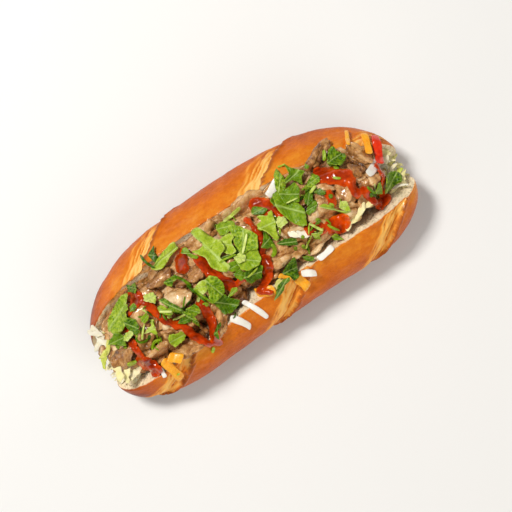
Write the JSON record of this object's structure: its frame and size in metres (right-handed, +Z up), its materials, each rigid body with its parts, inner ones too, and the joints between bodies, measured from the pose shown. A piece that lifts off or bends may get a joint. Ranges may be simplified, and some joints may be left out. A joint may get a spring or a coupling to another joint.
{
  "type": "banh mi sandwich",
  "caption": "Long soft roll split along its top and opened, filled with sliced meat, lettuce, pickled carrot and daikon strips, herbs and red chilli sauce.",
  "frame": {"origin": "middle of the underside's bounding box, on the surface the sandwich stands on", "axes": "+X along the roll, +Y towards its rear half, +Z up out of the split"},
  "size_m": [0.24, 0.1076, 0.0607],
  "materials": {
    "crust": "golden brown glazed crust, paler in the scores, with a cream crumb on the cut faces",
    "lettuce": "pale green shredded leaf",
    "meat": "moist braised meat, grey brown to tan, with its grain showing",
    "carrot": "moist pickled carrot",
    "daikon": "moist pickled white radish, slightly translucent",
    "chilli": "glossy red",
    "herbs": "fresh green coriander and mint leaves",
    "sauce": "wet glossy red chilli sauce"
  },
  "bodies": {
    "root": {"bread_roll": "crust", "carrot_strip_01": "carrot", "carrot_strip_02": "carrot", "carrot_strip_03": "carrot", "carrot_strip_04": "carrot", "carrot_strip_05": "carrot", "carrot_strip_06": "carrot", "carrot_strip_07": "carrot", "chilli_strip_01": "chilli", "daikon_strip_01": "daikon", "daikon_strip_02": "daikon", "daikon_strip_03": "daikon", "daikon_strip_04": "daikon", "daikon_strip_05": "daikon", "daikon_strip_06": "daikon", "daikon_strip_07": "daikon", "lettuce_bed": "lettuce", "meat_heap": "meat", "meat_slice_01": "meat", "meat_slice_02": "meat", "meat_slice_03": "meat", "meat_slice_04": "meat", "meat_slice_05": "meat", "meat_slice_06": "meat", "meat_slice_07": "meat", "meat_slice_08": "meat", "meat_slice_09": "meat", "meat_slice_10": "meat", "meat_slice_11": "meat", "meat_slice_12": "meat", "meat_slice_13": "meat", "meat_slice_14": "meat", "meat_slice_15": "meat", "meat_slice_16": "meat", "meat_slice_17": "meat", "meat_slice_18": "meat", "meat_slice_19": "meat", "meat_slice_20": "meat", "meat_slice_21": "meat", "meat_slice_22": "meat", "meat_slice_23": "meat", "meat_slice_24": "meat"}
  },
  "joints": []
}
